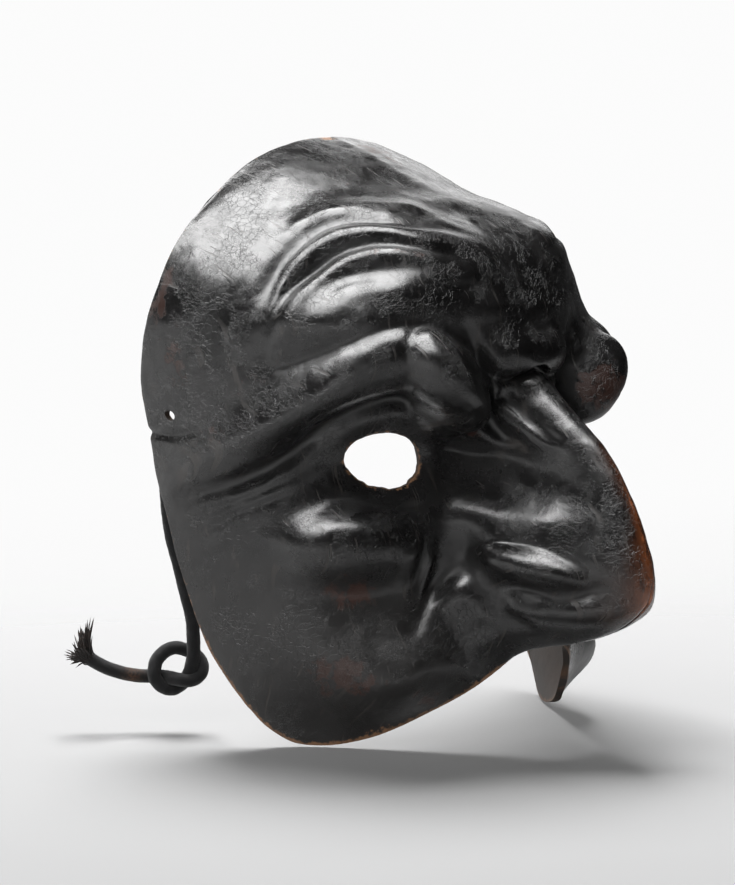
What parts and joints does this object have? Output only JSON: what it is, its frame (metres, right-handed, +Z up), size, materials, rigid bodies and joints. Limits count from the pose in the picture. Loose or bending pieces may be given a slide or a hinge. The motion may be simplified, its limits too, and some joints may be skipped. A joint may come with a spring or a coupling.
{
  "type": "moulded leather half mask",
  "caption": "Black moulded leather half mask with heavy brows, hooked nose, open eye holes and a knotted tie cord.",
  "frame": {"origin": "the wearer's nose bridge: inside the mask, between the eyes", "axes": "+Z up, the mask looks towards -Y and opens towards +Y, +X to the right as it is looked at from the front"},
  "size_m": [0.1787, 0.176, 0.1939],
  "materials": {
    "leather": "hand-polished, near-black, worn brown on the nose ridge and rim",
    "cord": "matte black braided cotton"
  },
  "bodies": {
    "root": {"mask_shell": "leather", "tie_cord": "cord", "tie_cord_knot": "cord", "tie_cord_tail": "cord", "tie_cord_frayed_end": "cord"}
  },
  "joints": []
}
